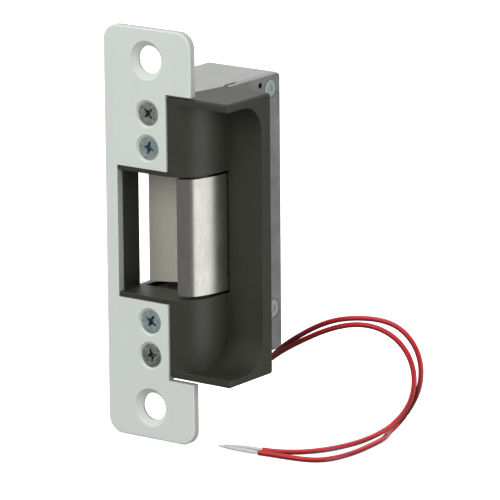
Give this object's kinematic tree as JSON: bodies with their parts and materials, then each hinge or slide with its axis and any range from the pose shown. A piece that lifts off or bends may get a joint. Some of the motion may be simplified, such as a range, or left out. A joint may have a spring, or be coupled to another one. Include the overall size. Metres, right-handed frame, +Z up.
{
  "type": "electric door strike",
  "caption": "Electric door strike for a metal door frame: faceplate, cast lip with scoop, swinging keeper, solenoid lock in a sheet-metal case and two flying leads.",
  "frame": {"origin": "centre of the faceplate's front face, midway between its two jamb screw holes", "axes": "+Z up along the faceplate; +Y into the jamb; +X towards the lip, the side the latch leaves by"},
  "size_m": [0.0793, 0.0508, 0.1238],
  "materials": {
    "satin_aluminium": "clear anodised, fine satin",
    "black_casting": "black satin coating on cast metal",
    "zinc_plated_sheet": "zinc plated sheet, dull",
    "zinc_plated_screws": "zinc plated",
    "keeper_nickel": "nickel plated, lengthwise brushed",
    "plain_steel": "zinc plated pressed steel",
    "steel_pins": "ground steel",
    "spring_steel": "bright drawn wire",
    "plunger_nickel": "nickel plated, ground",
    "white_nylon": "natural nylon",
    "black_nylon": "moulded nylon",
    "copper_winding": "enamelled copper wire",
    "yellow_tape": "polyester coil tape",
    "black_rubber": "soft rubber",
    "red_insulation": "PVC insulation",
    "tinned_copper": "tinned strands"
  },
  "bodies": {
    "frame": {"faceplate": "satin_aluminium", "faceplate_screws": "zinc_plated_screws", "strike_body": "black_casting", "case": "zinc_plated_sheet", "case_screws": "zinc_plated_screws", "side_cover": "zinc_plated_sheet", "cover_screws": "zinc_plated_screws", "keeper_pin": "steel_pins", "keeper_washers": "white_nylon", "lever_pin": "steel_pins", "lever_clips": "spring_steel", "solenoid_frame": "plain_steel", "solenoid_screws": "zinc_plated_screws", "bobbin": "black_nylon", "coil_winding": "copper_winding", "coil_tape": "yellow_tape", "pole_piece": "plain_steel", "plunger_spring": "spring_steel", "grommet": "black_rubber", "lead_wire_a": "red_insulation", "lead_wire_b": "red_insulation", "wire_ends": "tinned_copper"},
    "keeper": {"keeper": "keeper_nickel", "keeper_spring": "spring_steel"},
    "lever": {"locking_lever": "plain_steel"},
    "plunger": {"plunger": "plunger_nickel", "plunger_pin": "steel_pins", "plunger_clip": "spring_steel"}
  },
  "joints": [
    {"name": "keeper_swing", "type": "hinge", "parent": "frame", "child": "keeper", "pos_m": [0.0087, 0.0123, 0], "axis": [0, 0, 1], "range_deg": [0, 45], "stiffness_Nm_per_rad": 0.05},
    {"name": "plunger_travel", "type": "slide", "parent": "frame", "child": "plunger", "axis": [0, 0, -1], "range_m": [0, 0.003], "deforming": ["plunger_spring"]},
    {"name": "lever_tilt", "type": "hinge", "parent": "frame", "child": "lever", "pos_m": [0, 0.027, 0.0065], "axis": [1, 0, 0], "range_deg": [-17.6, 0]}
  ],
  "couplings": [
    {"joint": "lever_tilt", "follows": "plunger_travel", "rad_per_m": -101.25}
  ]
}
